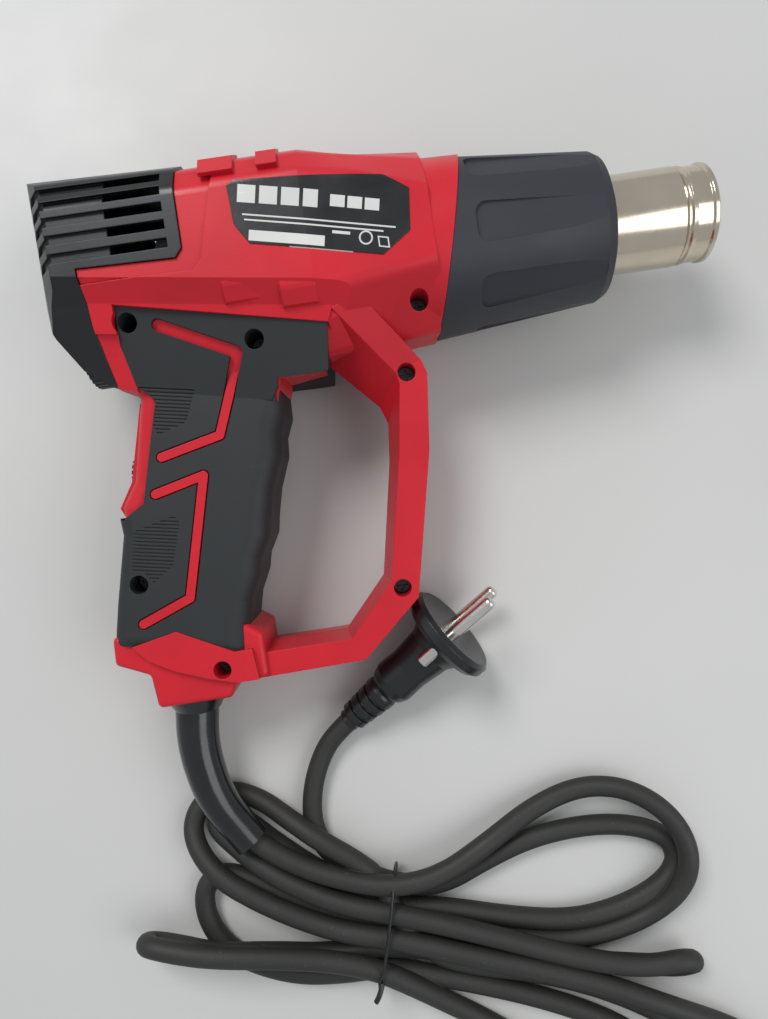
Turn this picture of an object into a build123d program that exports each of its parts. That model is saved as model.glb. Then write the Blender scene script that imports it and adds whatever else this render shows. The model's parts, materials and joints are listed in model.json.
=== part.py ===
from build123d import *
import math
import os

# A corded hot-air gun with a D-shaped hand guard, lying on its right side.
# Tool frame, used while modelling: X runs along the barrel towards the nozzle,
# Y points away from the handle, Z points to the tool's left, and the origin is
# on the barrel axis at the shroud's rear rim. All sizes are millimetres.

# ---- motor casing and rear cap ----
CAP_REAR = -147.0
CAP_SEAM = -90.8
CAP_SEAM_LOW = -125.2
CAP_STEP_Y = 0.5
REAR_TOP = 37.7
BODY_TOP = 36.4
BODY_HALF = 33.0
SHOULDER_X = -52.0
NECK_X = -36.0
PANEL_FRONT = -12.0
FRONT_X = 6.0
FRONT_R = 29.9
FRONT_SEAM_X = -5.0
FRONT_SEAM_SLOPE = 0.24
SEAM_STEP = 1.0
WALL = 2.4
CREASE_Y = -5.0
CREASE_TURN = 8.5
GRIP_TURN = 12.5
VENT_ROWS = [27.2, 22.0, 16.8, 11.3, 5.6]
VENT_GAP = 3.0

# ---- handle, grip and guard ----
CORE_HALF = 16.4
GRIP_HALF = 18.4
GRIP_SKIN = 1.8
FLARE_HALF = 23.5
BASE_HALF = 16.2
PLATE_HALF = 18.8
GUARD_HALF = 13.5
ROOT_HALF = 27.6
RIB_W = 3.0
SLOT_W = 3.9
HANDLE_LEAN = 14.0

# ---- shroud, nozzle and heater ----
SHROUD_TIP = 50.0
SHROUD_R = 30.2
SHROUD_TIP_R = 25.3
LIP_R = 27.2
FLUTES = 8
FLUTE_FLOOR = 28.2
FLUTE_SLOPE = 3.4
NOZZLE_R = 17.0
NOZZLE_BORE = 16.0
NOZZLE_REAR = -43.0
NOZZLE_TIP = 87.0
GROOVE_X = 76.5
HEATER_FRONT = 58.0

# ---- motor and fan ----
MOTOR_R = 17.5
MOTOR_REAR = -104.0
MOTOR_FRONT = -69.6
FAN_REAR = -64.5
FAN_FRONT = -53.5
FAN_R = 24.8
SHAFT_R = 1.5
RUN_FIT = 0.05

# ---- controls ----
DIAL_X = -131.0
DIAL_Y = -14.5
DIAL_R = 16.4
DIAL_W = 8.0
SWITCH_X = -121.0
SWITCH_Y = -52.0

# ---- cord and plug ----
CORD_R = 3.75
CORD_HOLE_X = -118.0
CLAMP_Y = -133.5
CLAMP_SCREWS = (-123.1, -112.9)
RELIEF_TOP_R = 8.0
RELIEF_END_R = 6.4
PIN_R = 2.4
PIN_LEN = 19.0
PIN_GAP = 19.0
FLANGE_R = 18.4
PLUG_PLACE = (6.5, -83.0, 18.6)
PLUG_TILT = 14.0
PLUG_TURN = 34.0

# ---- how the tool lies: leaning on its casing and the handle's base ----
LEAN = 6.6
PLACE = (30.0, 53.25, 34.7)

LEFT = 1
RIGHT = -1

# Corners of the casing's left side, as (y, z), at the rear, the motor, the shoulder and the neck.
REAR_CORNERS = [(REAR_TOP, 15), (31, 28.5), (22, BODY_HALF), (-16, BODY_HALF), (-34, 17)]
CASING_CORNERS = [(BODY_TOP, 14), (30, 27.5), (22, BODY_HALF), (-16, BODY_HALF), (-34, 17)]
SHOULDER_CORNERS = [(33.2, 12), (28.5, 23.5), (19.5, 32.2), (-14, 32.2), (-32.5, 14)]
NECK_CORNERS = [(30.8, 12), (25, 21), (12, 31), (-11, 31), (-30.6, 12)]

HANDLE_OUTLINE = [
    (-127, -2), (-51.6, -2), (-51.6, -24), (-53.8, -36.4), (-68, -37.6), (-70.5, -46), (-71, -50), (-74, -57),
    (-74.6, -64), (-79, -75), (-81.5, -85), (-82.6, -91), (-86.6, -98), (-88, -104), (-92, -112), (-94, -120),
    (-95, -131), (-138, -122), (-135, -108), (-129, -84), (-129.5, -74), (-124, -66), (-117.5, -38), (-122, -35.5),
    (-127, -30),
]
HANDLE_HOLLOW = [
    (-119, -13), (-55, -13), (-55, -29), (-71.5, -31), (-76, -56), (-87, -92), (-97, -118), (-98, -129),
    (-104.5, -139), (-104.5, -141.7), (-124.3, -141.7), (-125.3, -131.5), (-134, -125), (-131, -110), (-125.5, -84),
    (-125.5, -75), (-120, -65), (-113.5, -38), (-117, -32),
]
GRIP_ZONE = [
    (-117.6, -9.3), (-49.6, -24.4), (-40, -60), (-60, -126), (-92, -128.3), (-98, -128.4), (-116.6, -118.6),
    (-132.3, -121.8), (-138, -120.7), (-150, -118), (-150, -77), (-129, -78), (-121.5, -73), (-112.5, -38),
    (-116.3, -35.5), (-118.5, -21.7),
]
FLARE_OUTLINE = [
    (-127, -2), (-49.8, -2), (-49.8, -24), (-52.1, -39.2), (-68.4, -39.8), (-72.4, -46), (-76, -57), (-120, -57),
    (-112.5, -38), (-122, -35.5), (-127, -30),
]
STRIP_OUTLINE = [
    (-127, -2), (-117.4, -2), (-117.4, -9.4), (-118.4, -21.7), (-116.1, -35.5), (-117.5, -38), (-122, -35.5),
    (-127, -30),
]
BASE_OUTLINE = [
    (-139.5, -118), (-140, -127.8), (-128.6, -133), (-127.6, -144.8), (-102, -144.8), (-99.6, -140), (-88, -139.5),
    (-88, -124), (-96, -118),
]
PLATE_OUTLINE = [
    (-132.3, -121.8), (-127.4, -127.3), (-118.9, -132.1), (-108.9, -136), (-98.8, -139), (-91, -139), (-92, -128.3),
    (-97.9, -128.4), (-116.6, -118.6),
]
SPINE_OUTLINE = [
    (-116, -37), (-111, -40), (-120.5, -74), (-129, -79), (-131, -74.5), (-125.6, -66), (-118.6, -40),
]

# Hand guard: outer edge, then inner edge at the flat face and at the parting line.
GUARD_OUTER = [(-38.8, -14), (-20.5, -39), (-19, -44), (-22, -70), (-33, -120), (-54.5, -139), (-100, -140)]
GUARD_FACE = [(-47.8, -20.5), (-29.5, -42.5), (-28.9, -46), (-32.5, -70), (-41.5, -113), (-58, -131), (-100, -131.3)]
GUARD_MID = [(-53, -34), (-36.5, -52), (-34.4, -58), (-36, -72), (-44, -112), (-60, -129.5), (-100, -130)]

# The guard's root rises from its corner to the shoulder under the crease.
ROOT_TOP = [(-47.8, -20.5), (-38.8, -17), (-20.5, -39), (-29.5, -42.5)]
ROOT_HEIGHTS = [ROOT_HALF, ROOT_HALF, GUARD_HALF, GUARD_HALF]
ROOT_MID = [(-53, -34), (-38.8, -17), (-20.5, -39), (-36.5, -52)]
SHOULDER_ZONE = [(-140, 10), (-39.5, 10), (-38.8, -17), (-47.8, -20.5), (-60, -45), (-140, -45)]

UPPER_CHEVRON = [(-105, -17), (-81, -29), (-91.5, -55), (-112, -59.5)]
LOWER_CHEVRON = [(-116, -71.5), (-99, -67.5), (-110, -108), (-127, -114.5)]
UPPER_PATCH = [(-117, -25), (-97, -31.5), (-95.5, -34), (-102, -49), (-112, -52), (-116, -40)]
LOWER_PATCH = [(-126, -83), (-111, -79.5), (-109.5, -82), (-114, -96), (-121, -101), (-128, -97)]
PATCH_PITCH = 1.25

# Screws through the left half into the right: place and height of the head's seat.
SCREWS = {
    (-26, -42.6): 2, (-38, -116): 2, (-103, -134): 6, (-114.5, -15): 6, (-74.5, -26): 5, (-126.5, -101): 6,
    (-19, -21): 8,
}
GRIP_SCREWS = [(-114.5, -15), (-74.5, -26), (-126.5, -101)]
SCREW_HEAD_R = 2.9
SCREW_R = 1.75
BOSS_R = 5.2
SLEEVE_R = 4.3

LABEL_OUTLINE = [
    (-74.5, 20), (-72, 21.5), (-46, 19.5), (-25.5, 17.5), (-18, 12), (-19.5, -1), (-29, -7.5), (-70, 1.5), (-74, 8),
]

# Cord routes on the floor, in the frame in which the tool lies.
RELIEF_ROUTE = [(-88, -90.6, 18), (-90.5, -110, 17), (-87, -130, 15.6), (-76, -147.5, 14)]
FIRST_ROUTE = [(-76, -147.5, 14), (-60, -159.5, 13)]
PLUG_ROUTE = [(-54, -149, 4), (-53, -133, 4), (-46, -119.5, 4), (-36.5, -111.6, 6)]
HANK_BASE = [
    (-128, -172), (-108, -170), (-106, -140), (-98, -126), (-84, -123), (-62, -133), (-40, -150), (-26, -164),
    (-8, -165), (28, -146), (48, -141), (68, -143), (84, -154), (92, -170), (90, -186), (78, -200), (90, -214),
    (91, -224), (78, -226), (112, -246), (120, -262), (104, -276), (84, -272), (42, -240), (-10, -214),
    (-34, -206), (-66, -206), (-90, -198), (-102, -188), (-134, -182), (-135, -174),
]
HANK_TOP = [
    (-133, -173), (-104, -176), (-98, -166), (-86, -164), (-64, -154.5), (-44, -150), (-28, -166), (-10, -166),
    (14, -166), (20, -188), (60, -200), (84, -176), (90, -190), (78, -206), (90, -214), (89, -223), (60, -222),
    (30, -216), (0, -212), (-34, -204), (-62, -198), (-100, -187), (-133, -182),
]
CORD_LAYER = 7.6
TIE_PLACE = (-31, -185, 8.6)
TIE_TURN = -18.0


# ---------------------------------------------------------------- helpers

def polygon(points, radius=0.0):
    """Closed face through points, with rounded corners if a radius is given."""
    if radius:
        return make_face(FilletPolyline(*points, radius=radius, close=True))
    return make_face(Polyline(*points, close=True))


def slab(points, low, high, radius=0.0):
    """Side outline extruded across the tool from z = low to z = high."""
    return Pos(0, 0, low) * extrude(polygon(points, radius), high - low)


def soft_slab(points, half, edge, offset_by=0.0):
    """Side outline extruded both ways, with rounded long edges."""
    face = polygon(points, 2.0)
    if offset_by:
        face = offset(face, offset_by)
    solid = Pos(0, 0, -half) * extrude(face, 2 * half)
    return fillet(solid.edges().group_by(Axis.Z)[-1] + solid.edges().group_by(Axis.Z)[0], edge)


def turned(points):
    """Profile of (x, radius) points turned about the barrel axis."""
    return revolve(polygon(points), Axis.X)


def rod_x(x_low, x_high, r_out, r_in=0.0, y=0.0, z=0.0):
    """Cylinder or tube along X."""
    middle = Pos((x_low + x_high) / 2, y, z) * Rot(0, 90, 0)
    rod = middle * Cylinder(r_out, x_high - x_low)
    return rod - middle * Cylinder(r_in, x_high - x_low + 1) if r_in else rod


def rod_y(x, y_low, y_high, r_out):
    """Cylinder along Y, in the parting plane."""
    return Pos(x, (y_low + y_high) / 2, 0) * Rot(90, 0, 0) * Cylinder(r_out, y_high - y_low)


def rod_z(x, y, low, high, r_out):
    """Cylinder across the tool."""
    return Pos(x, y, (low + high) / 2) * Cylinder(r_out, high - low)


def block(x_low, x_high, y_low, y_high, z_low, z_high):
    middle = Pos((x_low + x_high) / 2, (y_low + y_high) / 2, (z_low + z_high) / 2)
    return middle * Box(x_high - x_low, y_high - y_low, z_high - z_low)


def joined(parts):
    return parts[0].fuse(*parts[1:])


def on_side(shape, side):
    """Shape made for the tool's left, mirrored if it belongs to the right."""
    return shape if side == LEFT else mirror(shape, about=Plane.XY)


def side_space(side):
    """Everything on one side of the parting plane."""
    return on_side(block(-200, 150, -200, 100, 0, 80), side)


def at_switch(shape):
    """Places a shape from the switch's frame: +Y up the handle's back, -X outwards."""
    return Pos(SWITCH_X, SWITCH_Y, 0) * Rot(0, 0, -HANDLE_LEAN) * shape


# ---------------------------------------------------------------- casing

def casing_section(x, corners, inset):
    """Faceted section of the motor casing at one place along the barrel."""
    side = []
    for y, z in corners:
        reach = math.hypot(y, z)
        side.append((y * (1 - inset / reach), z * (1 - inset / reach)))
    points = side + [(y, -z) for y, z in reversed(side)]
    return Plane.YZ.offset(x) * make_face(FilletPolyline(*points, radius=6, close=True))


def casing_form(inset):
    """Solid form of the motor casing, narrowing over a shoulder to the round neck."""
    rear = casing_section(CAP_REAR, REAR_CORNERS, inset)
    seam = casing_section(CAP_SEAM, CASING_CORNERS, inset)
    form = loft([rear, seam], ruled=True) + extrude(seam, SHOULDER_X - CAP_SEAM)
    sections = [
        casing_section(SHOULDER_X, CASING_CORNERS, inset),
        casing_section(NECK_X, SHOULDER_CORNERS, inset),
        casing_section(PANEL_FRONT, NECK_CORNERS, inset),
    ]
    form = form + loft(sections, ruled=True)
    for side in (LEFT, RIGHT):
        form = form - flank_cut(side, inset)
    ring = turned([
        (NECK_X + 6, 0), (NECK_X + 6, FRONT_R - 0.5 - inset), (PANEL_FRONT, FRONT_R + 1.0 - inset),
        (FRONT_X, FRONT_R + 0.4 - inset), (FRONT_X, 0),
    ])
    return (form + ring) - front_seam_side(0, 60)


def front_seam_side(start, reach):
    """Space on one side of the slanted seam between casing and shroud."""
    near = [(FRONT_SEAM_X + FRONT_SEAM_SLOPE * y + start, y) for y in (-45, 45)]
    far = [(x + reach, y) for x, y in reversed(near)]
    return slab(near + far, -45, 45)


def along_crease(section, length):
    """Section in (y, z) swept along the crease between barrel and handle."""
    return Pos(-127, CREASE_Y, 0) * Rot(0, 0, -CREASE_TURN) * extrude(Plane.YZ * polygon(section), length)


def flank_cut(side, inset):
    """Space under the casing's sloping lower flank."""
    slope = [(8, BODY_HALF - inset + 0.01), (8, 60), (-45, 60), (-45, 10 - inset), (0, 26.5 - inset)]
    return on_side(Pos(-25, 0, 0) * along_crease(slope, 160), side)


def root_form(side):
    """Flat shoulder under the crease, and the flare that carries the handle."""
    shoulder = along_crease([(3, 0), (3, 28.5), (0, 28), (-12, 25), (-12, 0)], 92) & slab(SHOULDER_ZONE, 0, 40)
    core = on_grip_line([(4, 0), (4, FLARE_HALF), (0, FLARE_HALF), (-26, CORE_HALF), (-30, 0)], 78)
    top = FLARE_HALF + GRIP_SKIN - 0.1
    strip = on_grip_line([(4, 0), (4, top), (0, top), (-26, GRIP_HALF - 0.1), (-30, 0)], 30)
    flare = (core & slab(HANDLE_OUTLINE, 0, 40)) + (strip & slab(STRIP_OUTLINE, 0, 40))
    return on_side((shoulder - above_grip(0)) + flare, side)


def on_grip_line(section, length):
    """Section in (y, z) swept along the upper edge of the grip."""
    return Pos(-126, -7.4, 0) * Rot(0, 0, -GRIP_TURN) * extrude(Plane.YZ * polygon(section), length)


def above_grip(lift):
    """Space over the handle's flare, inside the grip's outline."""
    low, high = CORE_HALF + lift, FLARE_HALF + lift
    space = on_grip_line([(12, high), (12, 60), (-80, 60), (-80, low), (-26, low), (0, high)], 90)
    return space & slab(GRIP_ZONE, 0, 60)


def guard_ring(outer, inner, z):
    points = [(x, y, z) for x, y in outer] + [(x, y, z) for x, y in reversed(inner)]
    return make_face(Polyline(*points, close=True))


def shifted(points, distance):
    """Open outline moved sideways, to the right of its direction."""
    moved = []
    for i, (x, y) in enumerate(points):
        before = points[max(i - 1, 0)]
        after = points[min(i + 1, len(points) - 1)]
        dx, dy = after[0] - before[0], after[1] - before[1]
        length = math.hypot(dx, dy)
        moved.append((x + distance * dy / length, y - distance * dx / length))
    return moved


def guard_form(side, inset):
    """One half of the hand guard: flat outer face, inner wall that slopes to the parting line."""
    outer = shifted(GUARD_OUTER, inset)
    low = guard_ring(outer, shifted(GUARD_MID, -inset), 0)
    high = guard_ring(outer, shifted(GUARD_FACE, -inset), GUARD_HALF - inset)
    return on_side(loft([low, high], ruled=True), side)


def guard_ramp(side):
    """Root that lifts the guard's face up to the shoulder, with the same sloping inner wall."""
    low = make_face(Polyline(*[(x, y, 0) for x, y in ROOT_MID], close=True))
    high = make_face(Polyline(*[(x, y, z) for (x, y), z in zip(ROOT_TOP, ROOT_HEIGHTS)], close=True))
    return on_side(loft([low, high], ruled=True), side)


def beak_taper():
    """Space under the handle's beak, whose underside rises to the parting line."""
    section = [(-60, 26), (-39.6, 22), (-33.5, 0), (-39.6, -22), (-60, -26)]
    return Pos(-69.5, 0, 0) * extrude(Plane.YZ * polygon(section), 24.5)


def handle_form():
    handle = soft_slab(HANDLE_OUTLINE, CORE_HALF, 5.5) - beak_taper()
    base = soft_slab(BASE_OUTLINE, BASE_HALF, 2.0)
    plate = slab(PLATE_OUTLINE, -PLATE_HALF, PLATE_HALF)
    return handle + base + plate


def chevron(points, side, low, high, width):
    """Bar with rounded ends that follows a bent line on the handle's side."""
    pieces = [rod_z(x, y, low, high, width / 2) for x, y in points]
    for (x0, y0), (x1, y1) in zip(points, points[1:]):
        length = math.hypot(x1 - x0, y1 - y0)
        angle = math.degrees(math.atan2(y1 - y0, x1 - x0))
        bar = Pos(length / 2, 0, (low + high) / 2) * Box(length, width, high - low)
        pieces.append(Pos(x0, y0, 0) * Rot(0, 0, angle) * bar)
    return on_side(joined(pieces), side)


def crease_blocks(side):
    """Two blocks that bridge the crease above the handle, and two tabs on top."""
    low_section = [(-4.6, 27), (-4.6, 32.6), (-9.5, 32.2), (-14.8, 28.6), (-14.8, 22)]
    top_section = [(34, 13), (37, 15), (31.2, 28.4), (25, 33.4), (24, 27)]
    blocks = []
    for x, drop in ((-81.3, 0), (-63.2, -3.8)):
        low = extrude(Plane.YZ * make_face(Polyline(*low_section, close=True)), 12)
        blocks.append(Pos(x, drop, 0) * chamfer(low.faces().sort_by(Axis.Z)[-2:].edges(), 0.6))
    for x, length in ((-83, 11), (-64.5, 6.5)):
        blocks.append(Pos(x, 0, 0) * extrude(Plane.YZ * make_face(Polyline(*top_section, close=True)), length))
    return on_side(joined(blocks), side)


def cap_zone(gap):
    """Side outline of the region that belongs to the rear cap."""
    outline = [
        (CAP_SEAM - gap, 60), (CAP_SEAM - 0.5 - gap, CAP_STEP_Y + 3), (CAP_SEAM - 3, CAP_STEP_Y + gap),
        (CAP_SEAM_LOW - gap, CAP_STEP_Y + 1 + gap), (CAP_SEAM_LOW - gap, -15), (-123.9 - gap, -26), (-122 - gap, -37),
        (-170, -40), (-170, 60),
    ]
    return slab(outline, -50, 50)


def seam_band():
    """Shallow step in the casing that frames the rear cap."""
    outline = [(-100, 60), (-69, 60), (-78.5, 26), (-86, -1), (-89, -4), (-130, -3), (-130, 6), (-100, 6)]
    return (casing_form(0) - casing_form(SEAM_STEP)) & slab(outline, -50, 50)


def casing_shell():
    """Both casing halves in one piece, before they are parted and bored."""
    outer = casing_form(0)
    for side in (LEFT, RIGHT):
        outer = outer + crease_blocks(side)
        outer = outer - on_side(above_grip(0), side) + root_form(side)
        outer = outer + guard_ramp(side) + guard_form(side, 0)
    outer = outer + handle_form() + slab(SPINE_OUTLINE, -11, 11)
    hollow = casing_form(WALL) + slab(HANDLE_HOLLOW, WALL - CORE_HALF, CORE_HALF - WALL)
    for side in (LEFT, RIGHT):
        hollow = hollow - on_side(above_grip(-WALL), side)
        hollow = hollow + (guard_form(side, WALL) - block(-160, -92, -150, -100, -40, 40))
    hollow = hollow + rod_x(-30, FRONT_X, FRONT_R - WALL)
    shell = outer - seam_band() - hollow - cap_zone(0)
    window = at_switch(Pos(0, -3, 0) * Box(18, 27, 7))
    cord_way = Pos(CORD_HOLE_X, -143, 0) * Rot(90, 0, 0) * Cylinder(6.0, 10)
    return shell - window - cord_way


def casing_half(side, shell):
    half = shell & side_space(side)
    form = casing_form(1) - on_side(above_grip(-1), side) + handle_form() + guard_form(side, 0.5)
    bosses = []
    for x, y in SCREWS:
        reach = 26 if y > -30 else 14
        bosses.append(on_side(rod_z(x, y, 0, reach, BOSS_R), side) & form)
    half = (half + bosses) - rod_x(-60, 0, NOZZLE_R + 1)
    for (x, y), seat in SCREWS.items():
        if side == LEFT:
            bore = SLEEVE_R + 0.1 if (x, y) in GRIP_SCREWS else SCREW_HEAD_R + 0.2
            half = half - rod_z(x, y, seat, 45, bore) - rod_z(x, y, -1, seat + 1, SCREW_R + 0.15)
        else:
            half = half - rod_z(x, y, -12, 1, SCREW_R)
    ribs = chevron(UPPER_CHEVRON, side, CORE_HALF - 1.5, GRIP_HALF + 0.3, RIB_W)
    ribs = ribs + chevron(LOWER_CHEVRON, side, CORE_HALF - 1.5, GRIP_HALF + 0.3, RIB_W)
    return half + ribs


def patch_grooves(points, side):
    """Fine grooves across a thumb patch, inside its outline."""
    xs = [x for x, y in points]
    ys = [y for x, y in points]
    cuts = []
    y = min(ys) - 4
    while y < max(ys) + 4:
        cuts.append(Pos((min(xs) + max(xs)) / 2, y, GRIP_HALF) * Rot(0, 0, -11) * Box(40, 0.45, 0.8))
        y += PATCH_PITCH
    return on_side(joined(cuts) & slab(points, 0, 30), side)


def grip_panel(side):
    """Soft grip moulded over one side of the handle, with sleeves round the screws."""
    outer = soft_slab(HANDLE_OUTLINE, GRIP_HALF, 7.0, GRIP_SKIN)
    flare = on_grip_line([(0, 0), (0, FLARE_HALF + GRIP_SKIN), (-26, GRIP_HALF), (-30, 0)], 90)
    outer = outer + (on_side(flare, side) & slab(FLARE_OUTLINE, -40, 40))
    body = outer & slab(GRIP_ZONE, -40, 40) & side_space(side)
    skin = body - soft_slab(HANDLE_OUTLINE, CORE_HALF, 5.5) - root_form(side)
    skin = skin - slab(BASE_OUTLINE, -BASE_HALF, BASE_HALF) - slab(PLATE_OUTLINE, -30, 30)
    skin = skin - slab(SPINE_OUTLINE, -30, 30) - beak_taper()
    skin = skin - chevron(UPPER_CHEVRON, side, 0, 40, SLOT_W) - chevron(LOWER_CHEVRON, side, 0, 40, SLOT_W)
    skin = skin - patch_grooves(UPPER_PATCH, side) - patch_grooves(LOWER_PATCH, side)
    skin = skin - guard_form(side, 0) - guard_ramp(side)
    skin = skin - (casing_form(0) - on_side(above_grip(0), side))
    for x, y in GRIP_SCREWS:
        if side == LEFT:
            skin = skin + (rod_z(x, y, SCREWS[(x, y)] + 0.1, 40, SLEEVE_R) & body)
        skin = skin - rod_z(x, y, -40, 40, SCREW_HEAD_R + 0.3)
    return max(skin.solids(), key=lambda solid: solid.volume)


def cap_form(inset):
    """Solid form of the rear cap, bevelled at the back and underneath."""
    side_view = [
        (-80, 50), (-144, REAR_TOP + 1), (CAP_REAR + inset, 35), (CAP_REAR + inset, 10), (-144.5 + inset, -1),
        (-138.5 + inset, -17), (-132.5 + inset, -27.5 + inset), (-125 + inset, -33.7 + inset), (-118, -37 + inset),
        (-80, -41),
    ]
    back = [
        (-80, 42), (-130, 42), (-134.5 + inset, 30), (-139.5 + inset, 23), (-143 + inset, 15), (CAP_REAR + inset, 4),
    ]
    plan_view = [(x, z) for x, z in back] + [(x, -z) for x, z in reversed(back)]
    plan = Pos(0, 50, 0) * Rot(90, 0, 0) * extrude(make_face(Polyline(*plan_view, close=True)), 100)
    return casing_form(inset) & slab(side_view, -50, 50) & plan


def rear_cap():
    """Louvred rear cap that holds the intake vents and the dial's slot."""
    hollow = cap_form(WALL) + (casing_form(WALL) & block(-120, -80, -40, 45, -40, 40))
    cap = (cap_form(0) - hollow) & cap_zone(0.15)
    grooved = cap_form(0) - cap_form(1.5)
    for y in VENT_ROWS:
        for side in (LEFT, RIGHT):
            groove = on_side(block(-160, -95.5, y - VENT_GAP / 2, y + VENT_GAP / 2, 14, 45), side)
            opening = on_side(block(-114, -95.5, y - VENT_GAP / 2, y + VENT_GAP / 2, 14, 45), side)
            cap = cap - (groove & grooved) - opening
    for z in range(-12, 13, 6):
        cap = cap - block(-160, -140, 8, 34, z - 1.5, z + 1.5)
    half_width = DIAL_W / 2 + 0.5
    cap = cap - rod_x(DIAL_X - half_width, DIAL_X + half_width, DIAL_R + 0.6, y=DIAL_Y)
    return max(cap.solids(), key=lambda solid: solid.volume)


def intake_screen():
    """Dust screen behind the rear vents."""
    plate = block(-140.4, -139.6, 7, 32, -14, 14)
    for i in range(8):
        for j in range(6):
            plate = plate - rod_x(-142, -138, 1.3, y=9.5 + 4 * j, z=-12.25 + 3.5 * i)
    return plate


def front_shroud():
    """Tapered heat shield round the nozzle, with flutes for the fingers."""
    profile = [
        (-16, SHROUD_R + 1.2), (SHROUD_TIP - 4, SHROUD_TIP_R + 0.3), (SHROUD_TIP - 1.2, SHROUD_TIP_R - 1.2),
        (SHROUD_TIP, SHROUD_TIP_R - 4), (SHROUD_TIP, 18), (SHROUD_TIP - 2, 18),
        (SHROUD_TIP - 3, SHROUD_TIP_R - 4), (2, SHROUD_R - 4), (2, LIP_R - 2.4), (-16, LIP_R - 2.4),
    ]
    shroud = turned(profile) - front_seam_side(0.1, -40)
    lip = rod_x(-20, 2, LIP_R, LIP_R - 2.4) - front_seam_side(-3, -40)
    shroud = shroud + lip
    cutter = slab([(2, -6.6), (2, 6.6), (46, 4.2), (46, -4.2)], 0, 10, radius=3.8)
    for i in range(FLUTES):
        flute = Pos(0, 0, FLUTE_FLOOR) * Rot(0, FLUTE_SLOPE, 0) * cutter
        shroud = shroud - Rot(360 / FLUTES * (i + 0.04), 0, 0) * flute
    return shroud


# ---------------------------------------------------------------- nozzle and heater

def nozzle():
    """Steel outlet tube with a rear flange, a groove and a rolled tip."""
    wall = NOZZLE_R - NOZZLE_BORE
    return turned([
        (NOZZLE_REAR, NOZZLE_BORE), (NOZZLE_REAR, 25), (NOZZLE_REAR + wall, 25), (NOZZLE_REAR + wall, NOZZLE_R - 0.4),
        (SHROUD_TIP - 2, NOZZLE_R - 0.4), (SHROUD_TIP - 1, NOZZLE_R),
        (GROOVE_X - 1.2, NOZZLE_R), (GROOVE_X, NOZZLE_R - 0.9), (GROOVE_X + 0.8, NOZZLE_R - 0.9),
        (GROOVE_X + 1.4, NOZZLE_R - 0.2), (GROOVE_X + 3, NOZZLE_R - 0.6), (NOZZLE_TIP - 2.4, NOZZLE_R - 0.8),
        (NOZZLE_TIP - 1.8, NOZZLE_R - 0.1), (NOZZLE_TIP - 0.6, NOZZLE_R - 0.1), (NOZZLE_TIP, NOZZLE_R - 0.8),
        (NOZZLE_TIP, NOZZLE_BORE - 0.6), (GROOVE_X + 2, NOZZLE_BORE - 0.6), (GROOVE_X - 2, NOZZLE_BORE),
    ])


def heater_flange():
    """Ceramic ring that seats the nozzle and the heater in the casing."""
    ring = rod_x(-50, NOZZLE_REAR, 27.5, 12)
    for angle in (45, 135, 225, 315):
        y = 21.5 * math.cos(math.radians(angle))
        z = 21.5 * math.sin(math.radians(angle))
        ring = ring - rod_x(-51, -42, 1.6, y=y, z=z)
    return ring


def flange_screws():
    screws = []
    for angle in (45, 135, 225, 315):
        y = 21.5 * math.cos(math.radians(angle))
        z = 21.5 * math.sin(math.radians(angle))
        screws.append(rod_x(-50, -44, 1.5, y=y, z=z) + rod_x(-51.6, -50, 2.8, y=y, z=z))
    return Compound(children=screws)


def heater_core():
    """Crossed mica boards that carry the winding."""
    return block(NOZZLE_REAR + 1, HEATER_FRONT, -12.6, 12.6, -0.5, 0.5) + block(
        NOZZLE_REAR + 1, HEATER_FRONT, -0.5, 0.5, -12.6, 12.6
    )


def heater_coil():
    """Resistance winding round the mica cross."""
    helix = Helix(pitch=6, height=84, radius=13.4)
    wire = sweep(Plane(origin=helix @ 0, z_dir=helix % 0) * Circle(0.45), path=helix)
    return Pos(-34, 0, 0) * Rot(0, 90, 0) * wire


def thermocouple():
    return rod_x(HEATER_FRONT + 0.2, HEATER_FRONT + 5, 1.2, y=7)


# ---------------------------------------------------------------- motor and fan

def motor_can():
    can = rod_x(MOTOR_REAR + 8, MOTOR_FRONT, MOTOR_R, MOTOR_R - 0.8)
    return can + rod_x(MOTOR_FRONT - 1.2, MOTOR_FRONT, MOTOR_R, 4.0)


def motor_endcap():
    cap = rod_x(MOTOR_REAR, MOTOR_REAR + 8, MOTOR_R + 0.6) - rod_x(MOTOR_REAR + 2, MOTOR_REAR + 9, MOTOR_R - 1.6)
    return cap - rod_x(MOTOR_REAR - 1, MOTOR_REAR + 3, 3.5)


def motor_magnets():
    """Two arc magnets inside the can."""
    ring = rod_x(MOTOR_REAR + 9, MOTOR_FRONT - 3, MOTOR_R - 0.8, 13.4)
    arcs = ring - block(-120, -60, -30, 30, -5, 5)
    return Compound(children=list(arcs.solids()))


def motor_bearings():
    rear = rod_x(MOTOR_REAR - 2, MOTOR_REAR + 2, 3.5, SHAFT_R + RUN_FIT)
    front = rod_x(MOTOR_FRONT - 1.2, MOTOR_FRONT + 3, 4.0, SHAFT_R + RUN_FIT)
    return Compound(children=[rear, front])


def rotor_shaft():
    return rod_x(MOTOR_REAR - 3, FAN_FRONT - 0.5, SHAFT_R)


def rotor_core():
    core = rod_x(MOTOR_REAR + 11, MOTOR_FRONT - 4.5, 12.6, SHAFT_R)
    for i in range(5):
        core = core - Rot(72 * i, 0, 0) * block(-120, -60, -1.1, 1.1, 6, 14)
    return core


def commutator():
    return rod_x(MOTOR_REAR + 4, MOTOR_REAR + 10, 4.2, SHAFT_R)


def carbon_brushes():
    upper = block(MOTOR_REAR + 5, MOTOR_REAR + 9, -2, 2, 4.5, 13)
    lower = block(MOTOR_REAR + 5, MOTOR_REAR + 9, -2, 2, -13, -4.5)
    return Compound(children=[upper, lower])


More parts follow.
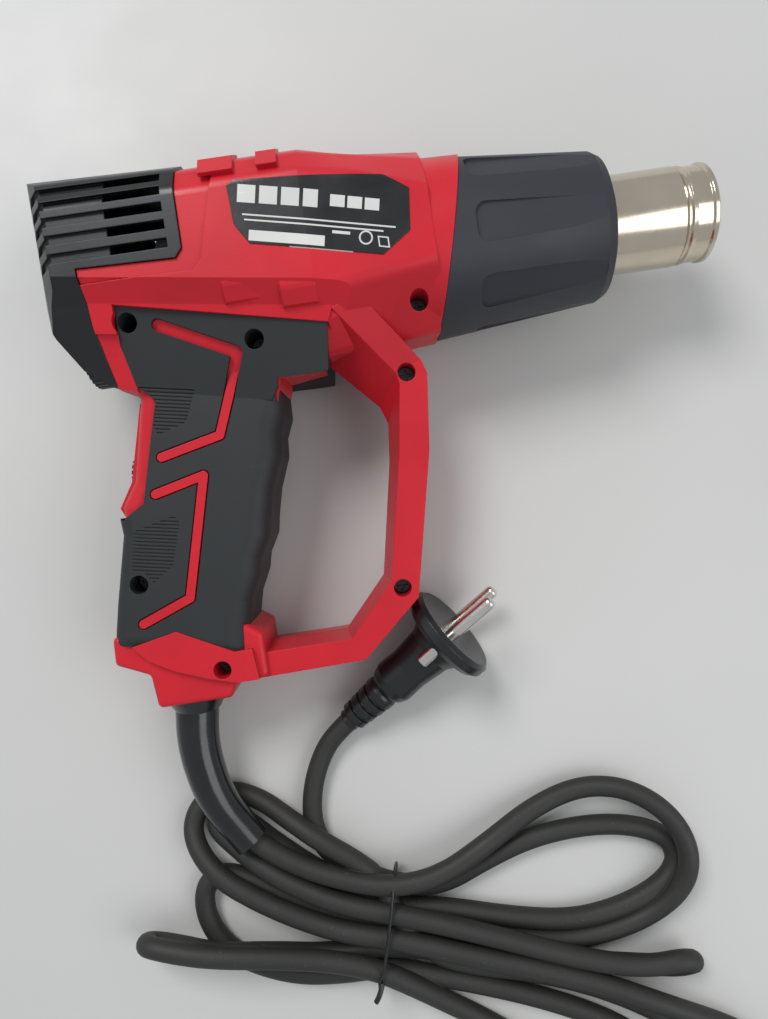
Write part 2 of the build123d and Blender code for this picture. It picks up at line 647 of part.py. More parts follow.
def fan_guide():
    """Ring round the fan, with a four-armed spider that the motor is bolted to."""
    rear = MOTOR_FRONT + 0.1
    ring = rod_x(rear, FAN_FRONT + 2.5, FAN_R + 1.4, FAN_R + 0.6)
    hub = rod_x(rear, rear + 3, 12, 4.1)
    arms = [Rot(45 + 90 * i, 0, 0) * block(rear, rear + 3, -2, 2, 11, FAN_R + 1) for i in range(4)]
    return joined([ring, hub] + arms)


def impeller():
    """Seven-bladed axial fan on the motor's shaft."""
    hub = rod_x(FAN_REAR, FAN_FRONT, 8.5, SHAFT_R)
    blade = Pos((FAN_REAR + FAN_FRONT) / 2, 0, 17) * Rot(0, 0, 38) * Box(13, 1.2, 21)
    blades = [Rot(360 / 7 * i, 0, 0) * blade for i in range(7)]
    fan = joined([hub] + blades)
    return fan & rod_x(FAN_REAR, FAN_FRONT, FAN_R, SHAFT_R)


# ---------------------------------------------------------------- controls

def temperature_dial():
    """Thumbwheel with a knurled rim that stands out under the rear cap."""
    wheel = rod_x(DIAL_X - DIAL_W / 2, DIAL_X + DIAL_W / 2, DIAL_R, y=DIAL_Y)
    teeth = 40
    cuts = []
    for i in range(teeth):
        angle = 2 * math.pi * i / teeth
        y = DIAL_Y + (DIAL_R + 0.25) * math.cos(angle)
        cuts.append(rod_x(DIAL_X - 5, DIAL_X + 5, 0.8, y=y, z=(DIAL_R + 0.25) * math.sin(angle)))
    wheel = wheel - cuts
    return wheel - rod_x(DIAL_X - 1, DIAL_X + 5, 3.0, y=DIAL_Y)


def dial_shaft():
    return rod_x(DIAL_X - 1, -121.5, 3.0, y=DIAL_Y)


def potentiometer():
    return rod_x(-126.2, -120.6, 8.0, 3.0 + RUN_FIT, y=DIAL_Y)


def switch_slider():
    """Sliding switch nub with its inner plate, at its lowest place, off."""
    nub = Pos(0.6, -10.5, 0) * Box(9.4, 7, 5.8)
    nub = fillet(nub.edges().filter_by(Axis.Z).group_by(Axis.X)[0], 1.2)
    ridges = [Pos(-4.1, -12.6 + 2.1 * i, 0) * Box(0.8, 0.7, 7) for i in range(3)]
    plate = Pos(4.9, -10.5, 0) * Box(1.2, 13, 10)
    slider = nub + plate
    for ridge in ridges:
        slider = slider - ridge
    return at_switch(slider)


def switch_body():
    return at_switch(Pos(10.8, -2, 0) * Box(9, 26, 14))


def control_board():
    return Pos(-105, -92, -6) * Rot(0, 0, -15) * Box(22, 40, 1.6)


def board_parts():
    """Triac heat sink, capacitor and rectifier standing on the board."""
    place = Pos(-105, -92, -5.2) * Rot(0, 0, -15)
    sink = place * Pos(0, 12, 5) * Box(14, 3, 10)
    capacitor = place * Pos(-4, -6, 4) * Box(13, 6, 8)
    rectifier = place * Pos(6, -14, 3) * Box(6, 9, 6)
    return Compound(children=[sink, capacitor, rectifier])


def terminal_block():
    return Pos(-114, -119.5, -4) * Rot(0, 0, -10) * Box(15, 8, 8)


def cord_clamp():
    """Bar that holds the cord in the handle's base."""
    bar = block(-124.4, -111.6, CLAMP_Y - 2.5, CLAMP_Y + 2.5, 4.1, 6.6)
    for x in CLAMP_SCREWS:
        bar = bar - rod_z(x, CLAMP_Y, 0, 10, 1.2)
    return bar


def clamp_screws():
    screws = [rod_z(x, CLAMP_Y, -2.4, 6.6, 1.2) + rod_z(x, CLAMP_Y, 6.6, 8.2, 1.9) for x in CLAMP_SCREWS]
    return Compound(children=screws)


def casing_screws():
    """Seven screws that hold the casing halves together."""
    screws = []
    for (x, y), seat in SCREWS.items():
        screw = rod_z(x, y, -11, seat, SCREW_R) + rod_z(x, y, seat, seat + 2.2, SCREW_HEAD_R)
        recess = block(x - 2, x + 2, y - 0.5, y + 0.5, seat + 1.1, seat + 3)
        cross = block(x - 0.5, x + 0.5, y - 2, y + 2, seat + 1.1, seat + 3)
        screws.append(screw - recess - cross)
    return Compound(children=screws)


def rating_label():
    """Thin sticker that follows the casing's left side."""
    return (casing_form(-0.3) - casing_form(0)) & slab(LABEL_OUTLINE, 10, 60)


# ---------------------------------------------------------------- cord and plug

def bend_radii(points):
    """Largest arc that each corner of a route allows."""
    radii = []
    for before, corner, after in zip(points, points[1:], points[2:]):
        run_in, run_out = Vector(*corner) - Vector(*before), Vector(*after) - Vector(*corner)
        half_turn = math.radians(run_in.get_angle(run_out)) / 2
        radii.append(0.45 * min(run_in.length, run_out.length) / math.tan(half_turn))
    return radii


def route_line(points):
    if len(points) == 2:
        return Line(*points)
    return FilletPolyline(*points, radius=bend_radii(points))


def cord_tube(points, r):
    line = route_line(points)
    section = Plane(origin=line @ 0, z_dir=line % 0) * Circle(r)
    return sweep(section, path=line)


def strain_relief():
    """Bend protector: a flared collar on the handle's base, then a smooth tapering sleeve."""
    line = route_line(RELIEF_ROUTE)
    start = Plane(origin=line @ 0, z_dir=line % 0)
    sections = [start * Circle(RELIEF_TOP_R), Plane(origin=line @ 1, z_dir=line % 1) * Circle(RELIEF_END_R)]
    sleeve = sweep(sections, path=line, multisection=True)
    collar = Pos(CORD_HOLE_X, -147.9, 0) * Rot(90, 0, 0) * Cone(11.5, RELIEF_TOP_R, 6)
    neck = rod_y(CORD_HOLE_X, -145, -139, 5.9)
    return sleeve + placed(collar) + placed(neck)


def inner_cord():
    """Cord from the bend protector to the terminals, inside the handle."""
    return rod_y(CORD_HOLE_X, -139, -124.5, CORD_R)


def cord_hank():
    """Outer form of the tied hank: a layer on the floor and the strands that lie on it."""
    base = slab(HANK_BASE, 0, CORD_LAYER)
    top = slab(HANK_TOP, CORD_LAYER, 2 * CORD_LAYER + 1)
    return base + top


def cord_tie():
    """Wire tie round the hank's middle."""
    outer = Box(1.6, 44, 17.2)
    inner = Box(3, 42, 15.6)
    return Pos(*TIE_PLACE) * Rot(0, 0, TIE_TURN) * (outer - inner)


def at_plug(shape):
    """Places a shape from the plug's frame, +X along its pins."""
    return Pos(*PLUG_PLACE) * Rot(0, 0, PLUG_TURN) * Rot(0, -PLUG_TILT, 0) * shape


def plug_body():
    """Moulded mains plug with a round flange and a ribbed bend protector."""
    profile = [
        (3, 0), (3, FLANGE_R - 1.5), (1.5, FLANGE_R), (-1.5, FLANGE_R), (-3.5, FLANGE_R - 2), (-4.5, 12), (-9, 9.5),
        (-20, 8.3), (-28, 8.6), (-31, 7.6), (-33, 6.0),
    ]
    for i in range(4):
        x = -34 - 4.2 * i
        r = 6.6 - 0.35 * i
        profile += [(x, r), (x - 2.6, r), (x - 2.8, r - 1.4), (x - 4.0, r - 1.4)]
    profile += [(-52, 4.4), (-52, 0)]
    body = turned(profile)
    for z in (-PIN_GAP / 2, PIN_GAP / 2):
        body = body - rod_x(-12, 4, PIN_R, z=z)
    return at_plug(body)


def plug_pins():
    pins = []
    for z in (-PIN_GAP / 2, PIN_GAP / 2):
        pin = rod_x(-12, 3 + PIN_LEN, PIN_R, z=z)
        pins.append(at_plug(fillet(pin.edges().group_by(Axis.X)[-1], 1.6)))
    return Compound(children=pins)


def cord_nodes():
    return {
        "strain_relief": strain_relief(),
        "mains_cord_start": cord_tube(FIRST_ROUTE, CORD_R),
        "cord_hank": cord_hank(),
        "cord_tie": cord_tie(),
        "mains_cord_end": cord_tube(PLUG_ROUTE, CORD_R),
        "plug_body": plug_body(),
        "plug_pins": plug_pins(),
    }


# ---------------------------------------------------------------- placing and export

def placed(shape):
    """From the tool frame to the frame in which the tool lies on the floor."""
    return Pos(*PLACE) * Rot(LEAN, 0, 0) * shape


def tool_nodes():
    shell = casing_shell()
    return {
        "housing_left": casing_half(LEFT, shell),
        "housing_right": casing_half(RIGHT, shell),
        "grip_left": grip_panel(LEFT),
        "grip_right": grip_panel(RIGHT),
        "rear_cap": rear_cap(),
        "intake_screen": intake_screen(),
        "front_shroud": front_shroud(),
        "nozzle": nozzle(),
        "heater_flange": heater_flange(),
        "flange_screws": flange_screws(),
        "heater_core": heater_core(),
        "heater_coil": heater_coil(),
        "thermocouple": thermocouple(),
        "motor_can": motor_can(),
        "motor_endcap": motor_endcap(),
        "motor_magnets": motor_magnets(),
        "motor_bearings": motor_bearings(),
        "rotor_shaft": rotor_shaft(),
        "rotor_core": rotor_core(),
        "commutator": commutator(),
        "carbon_brushes": carbon_brushes(),
        "fan_guide": fan_guide(),
        "impeller": impeller(),
        "temperature_dial": temperature_dial(),
        "dial_shaft": dial_shaft(),
        "potentiometer": potentiometer(),
        "switch_slider": switch_slider(),
        "switch_body": switch_body(),
        "control_board": control_board(),
        "board_parts": board_parts(),
        "terminal_block": terminal_block(),
        "cord_clamp": cord_clamp(),
        "clamp_screws": clamp_screws(),
        "casing_screws": casing_screws(),
        "inner_cord": inner_cord(),
        "rating_label": rating_label(),
    }


nodes = {name: placed(shape) for name, shape in tool_nodes().items()}
nodes.update(cord_nodes())
os.makedirs("parts", exist_ok=True)
for name, shape in nodes.items():
    export_step(shape, f"parts/{name}.step")
    box = shape.bounding_box()
    print(name, [round(v, 1) for v in (*box.min, *box.max)])
for route in (RELIEF_ROUTE, PLUG_ROUTE):
    print("bend radii", [round(r, 1) for r in bend_radii(route)], "length", round(route_line(route).length, 1))
for name, route in (("mains_cord_start", FIRST_ROUTE), ("mains_cord_end", PLUG_ROUTE)):
    expected = math.pi * CORD_R ** 2 * route_line(route).length
    print(name, "volume", round(nodes[name].volume, 1), "section x length", round(expected, 1))
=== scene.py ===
import json
import math

import bpy
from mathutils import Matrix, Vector


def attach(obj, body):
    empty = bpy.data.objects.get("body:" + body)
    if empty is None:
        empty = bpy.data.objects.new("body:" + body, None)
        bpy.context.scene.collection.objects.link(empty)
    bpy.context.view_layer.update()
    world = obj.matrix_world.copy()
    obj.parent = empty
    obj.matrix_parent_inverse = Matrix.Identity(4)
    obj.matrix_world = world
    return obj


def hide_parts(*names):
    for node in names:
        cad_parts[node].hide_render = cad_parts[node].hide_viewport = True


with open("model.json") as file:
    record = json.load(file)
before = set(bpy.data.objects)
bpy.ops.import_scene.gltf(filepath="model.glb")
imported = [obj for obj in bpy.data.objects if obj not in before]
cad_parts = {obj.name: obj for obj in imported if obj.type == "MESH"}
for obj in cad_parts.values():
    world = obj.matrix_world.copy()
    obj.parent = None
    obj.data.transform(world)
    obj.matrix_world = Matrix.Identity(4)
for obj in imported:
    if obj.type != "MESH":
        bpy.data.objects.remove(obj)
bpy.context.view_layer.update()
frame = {"nodes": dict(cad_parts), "record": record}
nodes = frame["nodes"]

# The tool's own frame (X along the barrel, Y away from the handle, Z to its left) lies in the row
# frame turned by LEAN about X and moved to PLACE. Sizes are metres, except where millimetres are named.
MM = 0.001
LEAN = math.radians(6.6)
PLACE = Vector((0.030, 0.05325, 0.0347))
CORD_D = 0.0075


def from_tool(x, y, z):
    """Point given in the tool's frame, in millimetres, as a point of the row frame."""
    cos, sin = math.cos(LEAN), math.sin(LEAN)
    return Vector((x, y * cos - z * sin, y * sin + z * cos)) * MM + PLACE


# ---------------------------------------------------------------- camera

camera = bpy.data.objects.new("camera", bpy.data.cameras.new("camera"))
bpy.context.scene.collection.objects.link(camera)
camera.location = (-0.0116, -0.0534, 0.2915)
camera.rotation_euler = (math.radians(3.97), math.radians(0.34), math.radians(-8.42))
camera.data.lens = 26.0
camera.data.sensor_width = 36.0
camera.data.clip_start = 0.01
bpy.context.scene.camera = camera


# ---------------------------------------------------------------- materials

# Radius of the softened edges, then the scales of the noises, which are per metre.
EDGE_R = 0.0004
FINE_GRAIN = 1500
CLOUD_SCALE = 28
SCUFF_SCALE = 60
RIM_SCALE = 140
SPECK_SCALE = 900
HAZE_SCALE = 45
DUST = (0.5, 0.48, 0.45, 1.0)
# Cosine between the true and the softened normal, where a face counts as flat or as all edge.
FLAT_COS = 0.995
EDGE_COS = 0.90


class Shader:
    """A node material under construction."""

    def __init__(self, name):
        self.material = bpy.data.materials.new(name)
        self.material.use_nodes = True
        self.tree = self.material.node_tree
        self.bsdf = self.tree.nodes["Principled BSDF"]

    def add(self, kind, settings=None, **inputs):
        """New node; inputs are named with _ for spaces, and are values or output sockets."""
        node = self.tree.nodes.new(kind)
        for key, value in (settings or {}).items():
            setattr(node, key, value)
        for key, value in inputs.items():
            self.feed(node, key.replace("_", " "), value)
        return node

    def feed(self, node, key, value):
        socket = node.inputs[int(key[1:])] if key[0] == "#" else node.inputs[key]
        if isinstance(value, bpy.types.NodeSocket):
            self.tree.links.new(value, socket)
        else:
            socket.default_value = value

    def coords(self, scale=(1, 1, 1)):
        place = self.add("ShaderNodeTexCoord").outputs["Object"]
        return self.add("ShaderNodeMapping", Vector=place, Scale=scale).outputs["Vector"]

    def noise(self, scale, detail=2.0, stretch=(1, 1, 1)):
        made = self.add("ShaderNodeTexNoise", Vector=self.coords(stretch), Scale=scale, Detail=detail)
        return made.outputs["Fac"]

    def between(self, value, low, high, low_to, high_to):
        """Value remapped from one range to another."""
        made = self.add("ShaderNodeMapRange", Value=value)
        ends = {"From Min": low, "From Max": high, "To Min": low_to, "To Max": high_to}
        for key, number in ends.items():
            made.inputs[key].default_value = number
        return made.outputs["Result"]

    def mixed(self, share, first, second):
        made = self.add("ShaderNodeMix", {"data_type": "RGBA"})
        self.feed(made, "#0", share)
        self.feed(made, "#6", first)
        self.feed(made, "#7", second)
        return made.outputs[2]

    def rounded(self, radius):
        """Normal with every sharp edge softened to this radius."""
        return self.add("ShaderNodeBevel", {"samples": 4}, Radius=radius).outputs["Normal"]

    def edges(self, normal):
        """Mask of the edges that rounded() has softened."""
        true = self.add("ShaderNodeNewGeometry").outputs["Normal"]
        same = self.add("ShaderNodeVectorMath", {"operation": "DOT_PRODUCT"})
        self.tree.links.new(true, same.inputs[0])
        self.tree.links.new(normal, same.inputs[1])
        return self.between(same.outputs["Value"], FLAT_COS, EDGE_COS, 0.0, 1.0)

    def bump(self, height, depth, normal=None):
        made = self.add("ShaderNodeBump", Height=height, Distance=depth, Strength=1.0)
        if normal is not None:
            self.tree.links.new(normal, made.inputs["Normal"])
        return made.outputs["Normal"]

    def surface(self, colour, roughness, normal, metallic=0.0):
        self.feed(self.bsdf, "Base Color", colour)
        self.feed(self.bsdf, "Roughness", roughness)
        self.feed(self.bsdf, "Normal", normal)
        self.bsdf.inputs["Metallic"].default_value = metallic
        return self.material


def shade(colour, times):
    return tuple(min(1.0, c * times) for c in colour[:3]) + (1.0,)


def moulded(name, colour, roughness, grain, depth, scuff_and_highlight_gain=1.5, dust=0.0, shine=0.5):
    """Moulded plastic or rubber: fine grain, cloudy tone, faint scuffs, and a painted highlight that
    makes the edges paler (partly edge wear).
    """
    s = Shader(name)
    normal = s.rounded(EDGE_R)
    cloud = s.noise(CLOUD_SCALE, 3)
    tone = s.mixed(s.between(cloud, 0.3, 0.7, 0, 1), shade(colour, 0.9), shade(colour, 1.08))
    scuff = s.between(s.noise(SCUFF_SCALE, 6, (1, 6, 1)), 0.66, 0.80, 0, 0.35)
    tone = s.mixed(scuff, tone, shade(colour, scuff_and_highlight_gain))
    # Painted highlight: patches of the softened edges are painted paler, standing partly for edge wear.
    highlight_rim = s.add("ShaderNodeMath", {"operation": "MULTIPLY", "use_clamp": True})
    s.tree.links.new(s.edges(normal), highlight_rim.inputs[0])
    s.tree.links.new(s.between(s.noise(RIM_SCALE, 4), 0.35, 0.65, 0.15, 0.8), highlight_rim.inputs[1])
    tone = s.mixed(highlight_rim.outputs[0], tone, shade(colour, scuff_and_highlight_gain))
    if dust:
        specks = s.between(s.noise(SPECK_SCALE, 2), 0.70, 0.78, 0, dust)
        tone = s.mixed(specks, tone, DUST)
    rough = s.between(s.noise(HAZE_SCALE, 4), 0.25, 0.75, roughness - 0.06, roughness + 0.08)
    s.bsdf.inputs["Specular IOR Level"].default_value = shine
    return s.surface(tone, rough, s.bump(s.noise(grain, 3), depth, normal))


def metal(name, colour, roughness, stretch, line_scale=900, edge=0.0003):
    """Metal with fine lines along one direction and cloudy polish."""
    s = Shader(name)
    lines = s.noise(line_scale, 3, stretch)
    cloud = s.noise(35, 3)
    tone = s.mixed(s.between(cloud, 0.3, 0.7, 0, 1), shade(colour, 0.86), shade(colour, 1.06))
    rough = s.between(lines, 0.2, 0.8, roughness * 0.7, roughness * 1.5)
    return s.surface(tone, rough, s.bump(lines, 0.00001, s.rounded(edge)), metallic=1.0)


def glossy_black(name, roughness, coat):
    """Smooth black PVC with a faint clear skin."""
    s = Shader(name)
    cloud = s.between(s.noise(40, 3), 0.3, 0.7, 0, 1)
    tone = s.mixed(cloud, (0.004, 0.0045, 0.0055, 1), (0.008, 0.009, 0.011, 1))
    rough = s.between(s.noise(80, 4), 0.3, 0.7, roughness * 0.8, roughness * 1.3)
    s.bsdf.inputs["Coat Weight"].default_value = coat
    s.bsdf.inputs["Coat Roughness"].default_value = 0.12
    return s.surface(tone, rough, s.bump(s.noise(160, 3), 0.00006, s.rounded(EDGE_R)))


RED = (0.56, 0.014, 0.026)
GRIP = (0.015, 0.018, 0.020)
CAP = (0.007, 0.008, 0.010)
SHROUD = (0.022, 0.025, 0.033)
INK = (0.62, 0.62, 0.60)

# moulded takes a colour, roughness, grain scale and grain depth; metal a colour, roughness, stretch
# of its lines, their scale and an edge radius; glossy_black a roughness and the weight of its coat.
looks = {
    "red_casing": moulded("red_casing", RED, 0.36, FINE_GRAIN, 0.00002, scuff_and_highlight_gain=1.25, shine=0.32),
    "soft_grip": moulded("soft_grip", GRIP, 0.62, 2200, 0.00003, scuff_and_highlight_gain=1.8),
    "black_cap": moulded("black_cap", CAP, 0.36, 1800, 0.00002, scuff_and_highlight_gain=2.4),
    "shroud": moulded("shroud", SHROUD, 0.52, 1600, 0.00003, scuff_and_highlight_gain=1.6),
    "nozzle_steel": metal("nozzle_steel", (0.70, 0.62, 0.50), 0.14, (3, 0.15, 0.15)),
    "steel": metal("steel", (0.55, 0.55, 0.54), 0.3, (3, 0.3, 0.3)),
    "ceramic": moulded("ceramic", (0.75, 0.71, 0.62), 0.75, 900, 0.00006, scuff_and_highlight_gain=1.1),
    "screws": metal("screws", (0.10, 0.10, 0.105), 0.38, (1, 1, 1), 2500, 0.0001),
    "mica": moulded("mica", (0.45, 0.38, 0.26), 0.5, 1200, 0.00004, scuff_and_highlight_gain=1.3),
    "heating_wire": metal("heating_wire", (0.32, 0.29, 0.27), 0.45, (1, 1, 1)),
    "inner_plastic": moulded("inner_plastic", (0.04, 0.04, 0.042), 0.5, FINE_GRAIN, 0.00003),
    "magnet": moulded("magnet", (0.05, 0.05, 0.05), 0.6, 1200, 0.00005),
    "bronze": metal("bronze", (0.60, 0.38, 0.18), 0.35, (3, 0.3, 0.3)),
    "carbon": moulded("carbon", (0.02, 0.02, 0.02), 0.45, FINE_GRAIN, 0.00003),
    "circuit_board": moulded("circuit_board", (0.03, 0.16, 0.06), 0.35, 1200, 0.00002),
    "aluminium_parts": metal("aluminium_parts", (0.7, 0.7, 0.7), 0.35, (1, 6, 1)),
    "label": glossy_black("label", 0.30, 0.15),
    "relief_plastic": glossy_black("relief_plastic", 0.18, 0.2),
    "cord_rubber": moulded(
        "cord_rubber", (0.021, 0.021, 0.019), 0.6, 1300, 0.00005, scuff_and_highlight_gain=1.6, dust=0.10,
    ),
    "tie_wire": glossy_black("tie_wire", 0.30, 0.2),
    "plug_plastic": moulded(
        "plug_plastic", (0.010, 0.011, 0.012), 0.30, FINE_GRAIN, 0.00002, scuff_and_highlight_gain=2.0,
    ),
    "pin_metal": metal("pin_metal", (0.74, 0.71, 0.66), 0.2, (1, 1, 1), 1200, 0.0002),
}


def finish_of(name):
    for row in frame["record"]["subparts"]:
        if row["node"] == name:
            return looks[row["material_slot"]]


for name, node in nodes.items():
    node.data.materials.clear()
    node.data.materials.append(finish_of(name))


# ---------------------------------------------------------------- cord

# The cord's route, in millimetres of the row frame, from the handle's base to the plug.
CORD_ROUTE = [
    (-88, -91, 18), (-90.5, -110, 17), (-87, -130, 15.6), (-76, -147.5, 14), (-60, -159.5, 13),
    (-44, -167, 12.6), (-27, -172, 12.8), (-9, -171, 11.4), (9, -163, 9), (28, -153.5, 6),
    (46, -148.5, 5), (61, -149.5, 7.5), (73, -156, 10.8), (81, -167, 11.6), (82.5, -180, 11.2),
    (77, -191, 8), (65, -199.5, 4.2), (50, -203, 3.8), (32, -204, 3.8), (12, -199.5, 3.8),
    (-10, -193, 3.8), (-31, -189, 3.8), (-50, -182.5, 3.8), (-66, -174, 3.8), (-80, -165, 3.8),
    (-91, -160.5, 3.8), (-98.5, -164.5, 3.8), (-99.5, -175, 3.8), (-94.5, -186.5, 3.8),
    (-84, -195, 3.8), (-68, -201.5, 3.8), (-52, -203.5, 3.8), (-36, -203.5, 3.8), (-18, -209, 3.8),
    (2, -215.5, 3.8), (24, -224, 3.8), (45, -234.5, 3.8), (58, -243.5, 7), (68, -250.5, 11.4),
    (78, -257, 11.4), (88, -262.5, 8), (97, -263, 4.2), (101, -256, 3.9), (95, -247, 4.5),
    (84, -239.5, 6.5), (72, -232.5, 9), (60, -225.5, 11.2), (44, -217.5, 11.4), (22, -209, 11.4),
    (0, -201.5, 11.4), (-16, -195.5, 11.4), (-32, -190, 11.4), (-48, -185.5, 11.4), (-64, -178, 11.4),
    (-78, -169.5, 11.4), (-90, -160.5, 11.2), (-98, -150, 8.5), (-100, -140.5, 5), (-94, -132.5, 3.9),
    (-84, -131, 3.8), (-73, -136, 3.8), (-63, -143.5, 8), (-52, -152, 11.3), (-41, -160.5, 10.5),
    (-33, -169, 8), (-30, -178, 7.6), (-26, -188, 7.6), (-16, -200, 7.5), (0, -207.5, 5),
    (20, -213, 3.9), (42, -221.5, 3.8), (60, -231.5, 3.8), (70, -239.5, 3.8), (75.5, -250, 3.8),
    (72, -262, 3.8), (62, -269, 3.8), (50, -267, 3.8), (36, -257, 3.8), (18, -242.5, 3.8),
    (1, -229, 3.8), (-14, -218, 6), (-26, -208, 10), (-38, -200, 11.6), (-55, -193.5, 13.5),
    (-75, -188, 17), (-95, -184, 18.8), (-109, -180.5, 18), (-119.5, -178, 15.5), (-121, -181.5, 4.8),
    (-110, -183.5, 7), (-95, -186.5, 11.3), (-75, -190, 9), (-55, -195.5, 5), (-34, -196, 3.8),
    (-12, -201, 3.8), (10, -205.5, 3.8), (32, -211, 3.8), (52, -215, 3.8), (65, -217.5, 3.8),
    (74, -219, 3.9), (79.5, -216, 8), (74, -212.8, 11.8), (63, -213.5, 11.4), (48, -210.8, 11.4),
    (30, -204.5, 11.4), (10, -196.3, 11.4), (-10, -188.5, 11.4), (-29.4, -181.5, 11.4),
    (-45, -176.5, 11.4), (-60, -169, 11.2), (-74, -160, 9.5), (-85, -150.5, 6), (-91.5, -143.5, 4.5),
    (-89, -138.5, 3.8), (-80, -142.5, 3.8), (-71, -151.5, 3.8), (-58, -163, 3.8), (-45, -172.5, 3.8),
    (-29, -182, 3.8), (-8, -186, 3.8), (14, -192.5, 3.8), (36, -197, 3.8), (54, -195.5, 3.8),
    (70, -190.5, 3.8), (79.5, -183, 3.8), (79, -173.5, 3.8), (70, -167.5, 3.8), (56, -164, 3.8),
    (40, -163.5, 3.8), (24, -165.5, 3.8), (8, -170.5, 3.8), (-10, -177.5, 3.8), (-27, -174.5, 3.8),
    (-40, -167.5, 3.8), (-50, -160, 3.8), (-55, -149, 3.8), (-53, -134, 3.8), (-46, -120, 3.9),
    (-36, -111.8, 5.8), (-31, -108.4, 7),
]


def curve(name, points, radius, finish, closed=False):
    """Round tube whose line is a NURBS spline with these points, in millimetres."""
    data = bpy.data.curves.new(name, "CURVE")
    data.dimensions = "3D"
    data.bevel_depth = radius
    data.bevel_resolution = 6
    data.resolution_u = 10
    data.use_fill_caps = True
    spline = data.splines.new("NURBS")
    spline.points.add(len(points) - 1)
    for point, place in zip(spline.points, points):
        point.co = (*(Vector(place) * MM), 1.0)
    spline.order_u = 3
    spline.use_endpoint_u = not closed
    spline.use_cyclic_u = closed
    made = bpy.data.objects.new(name, data)
    bpy.context.scene.collection.objects.link(made)
    data.materials.append(finish)
    return made


TIE_LOOP = [
    (-25.5, -167, 2), (-25, -165.5, 9), (-27, -170, 16.5), (-31, -186, 17.8), (-36, -203, 16.5),
    (-38, -209, 9), (-37.5, -207, 1.5), (-31.5, -187, 0.9),
]
TIE_TAIL = [(-36, -203, 16), (-37, -206, 17.5), (-39, -208.5, 17)]
TIE_R = 0.0006
TAIL_R = TIE_R * 1.6
tie = curve("wire_tie", TIE_LOOP, TIE_R, looks["tie_wire"], closed=True)
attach(tie, "tool")
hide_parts("cord_tie")
tail = curve("wire_tie_ends", TIE_TAIL, TAIL_R, looks["tie_wire"])
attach(tail, "tool")

cord = curve("mains_cord", CORD_ROUTE, CORD_D / 2, looks["cord_rubber"])
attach(cord, "tool")
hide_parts("mains_cord_start", "cord_hank", "mains_cord_end")


# ---------------------------------------------------------------- label print

# Plain print with no text: blocks, lines and two outline symbols, in the tool's frame and in
# millimetres. Each bar is (x from, x to, y at its left end, height) and drops by PRINT_TILT along x.
PRINT_TILT = -0.22
PRINT = [
    (-72.0, -66.5, 14.6, 5.4), (-65.3, -59.8, 13.2, 5.4), (-58.6, -53.1, 11.8, 5.4),
    (-51.9, -47.4, 10.4, 5.4),
    (-43.5, -39.0, 9.4, 3.6), (-38.2, -33.7, 8.2, 3.6), (-32.9, -28.4, 7.0, 3.6),
    (-71.0, -24.0, 10.4, 0.5), (-70.6, -28.0, 8.7, 0.5), (-70.2, -47.0, 2.4, 3.2),
    (-44.0, -38.5, 1.0, 0.9), (-58.0, -38.5, -1.6, 0.5), (-69.0, -61.0, 0.6, 0.5),
]
# The ring is (x, y, outer radius, inner radius), and the square (left, right, top, height).
PRINT_RING = (-33.7, -1.7, 2.2, 1.7)
PRINT_SQUARE = (-30.0, -26.6, -1.6, 3.4)
LABEL_STEP = 2.5
ABOVE_LABEL = 60
PRINT_LIFT = 0.00006
ITALIC = 0.2
RING_SIDES = 28
SQUARE_INNER = 0.75
SQUARE_DROP = 0.8


def on_label(x, y):
    """Point on the label's face above a tool-frame place."""
    label = nodes["rating_label"]
    start, end = from_tool(x, y, ABOVE_LABEL), from_tool(x, y, 0)
    back = label.matrix_world.inverted()
    _, place, _, _ = label.ray_cast(back @ start, (back.to_3x3() @ (end - start)).normalized())
    return label.matrix_world @ place + (start - end).normalized() * PRINT_LIFT


def strip(rows, faces, first, second):
    """Ribbon of quads between two lines of points."""
    base = len(rows)
    rows += first + second
    count = len(first)
    faces += [(base + i, base + i + 1, base + count + i + 1, base + count + i) for i in range(count - 1)]


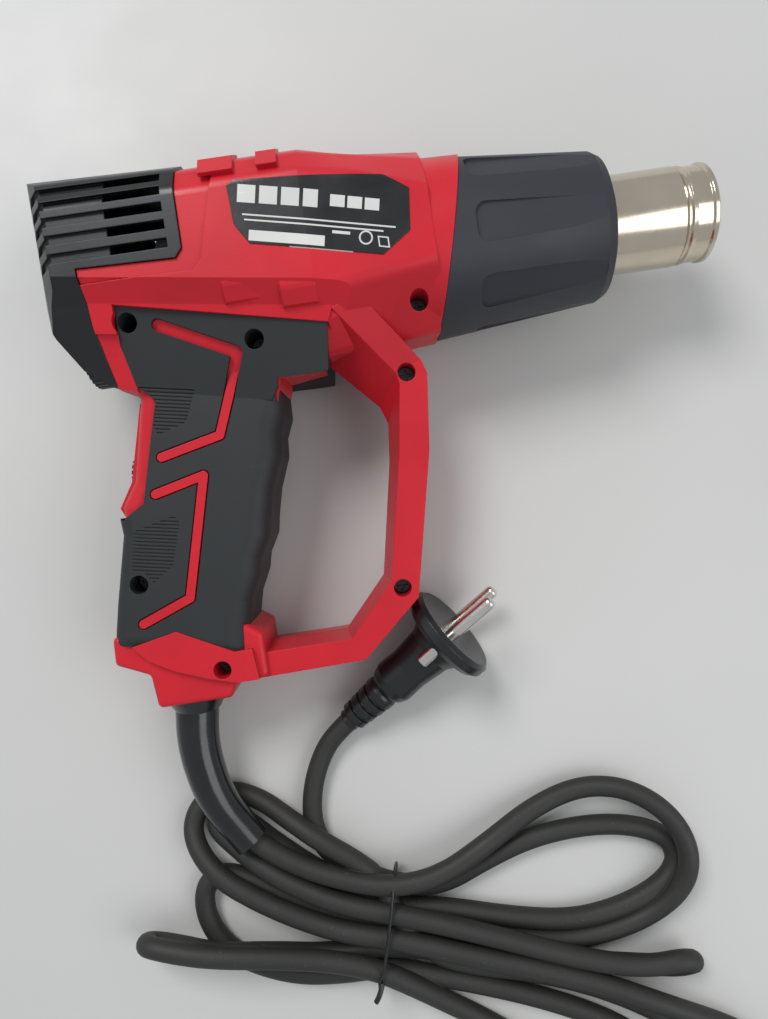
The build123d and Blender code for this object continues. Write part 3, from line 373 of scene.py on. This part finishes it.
def label_print():
    rows, faces = [], []
    for left, right, y, height in PRINT:
        steps = max(1, round((right - left) / LABEL_STEP))
        xs = [left + (right - left) * i / steps for i in range(steps + 1)]
        low = [on_label(x, y + PRINT_TILT * (x - left)) for x in xs]
        high = [on_label(x + ITALIC * height, y + height + PRINT_TILT * (x - left)) for x in xs]
        strip(rows, faces, low, high)
    x, y, outer, inner = PRINT_RING
    turns = [2 * math.pi * i / RING_SIDES for i in range(RING_SIDES + 1)]
    highlight_rim = [on_label(x + outer * math.cos(t), y + outer * math.sin(t)) for t in turns]
    hole = [on_label(x + inner * math.cos(t), y + inner * math.sin(t)) for t in turns]
    strip(rows, faces, highlight_rim, hole)
    left, right, top, height = PRINT_SQUARE
    corners = [
        (left, top), (right, top - SQUARE_DROP), (right, top - height - SQUARE_DROP),
        (left, top - height), (left, top),
    ]
    mid_x, mid_y = (left + right) / 2, top - SQUARE_DROP / 2 - height / 2
    inside = [
        (mid_x + SQUARE_INNER * (a - mid_x), mid_y + SQUARE_INNER * (b - mid_y)) for a, b in corners
    ]
    strip(rows, faces, [on_label(a, b) for a, b in corners], [on_label(a, b) for a, b in inside])
    mesh = bpy.data.meshes.new("label_print")
    mesh.from_pydata([tuple(place) for place in rows], [], faces)
    mesh.materials.append(moulded("label_ink", INK, 0.45, FINE_GRAIN, 0.00001))
    made = bpy.data.objects.new("label_print", mesh)
    bpy.context.scene.collection.objects.link(made)
    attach(made, "tool")


label_print()


# ---------------------------------------------------------------- stage

def plain_floor(half=3.0, drop=0.0002):
    """Pale grey square, set a little under the tool so that the two never flicker."""
    s = Shader("floor")
    cloud = s.between(s.noise(3, 3), 0.3, 0.7, 0, 1)
    tone = s.mixed(cloud, (0.53, 0.53, 0.515, 1), (0.58, 0.58, 0.565, 1))
    rough = s.between(s.noise(20, 3), 0.3, 0.7, 0.42, 0.55)
    material = s.surface(tone, rough, s.bump(s.noise(400, 2), 0.00001))
    corners = [(-half, -half, 0), (half, -half, 0), (half, half, 0), (-half, half, 0)]
    mesh = bpy.data.meshes.new("floor")
    mesh.from_pydata(corners, [], [(0, 1, 2, 3)])
    floor = bpy.data.objects.new("floor", mesh)
    floor.location.z = -drop
    mesh.materials.append(material)
    bpy.context.scene.collection.objects.link(floor)


def area_light(name, place, size, power, aim=(0, -0.03, 0)):
    data = bpy.data.lights.new(name, "AREA")
    data.shape = "DISK"
    data.size = size
    data.energy = power
    lamp = bpy.data.objects.new(name, data)
    lamp.location = place
    lamp.rotation_euler = (Vector(aim) - Vector(place)).to_track_quat("-Z", "Y").to_euler()
    bpy.context.scene.collection.objects.link(lamp)


plain_floor()
area_light("key", place=(-0.5, 0.9, 1.3), size=0.7, power=16)
area_light("fill", place=(1.0, -0.5, 1.2), size=1.2, power=8)
world = bpy.data.worlds.new("studio")
bpy.context.scene.world = world
world.use_nodes = True
sky = world.node_tree.nodes["Background"]
sky.inputs["Color"].default_value = (0.93, 0.96, 1.0, 1.0)
sky.inputs["Strength"].default_value = 0.48
bpy.context.scene.view_settings.view_transform = "Standard"
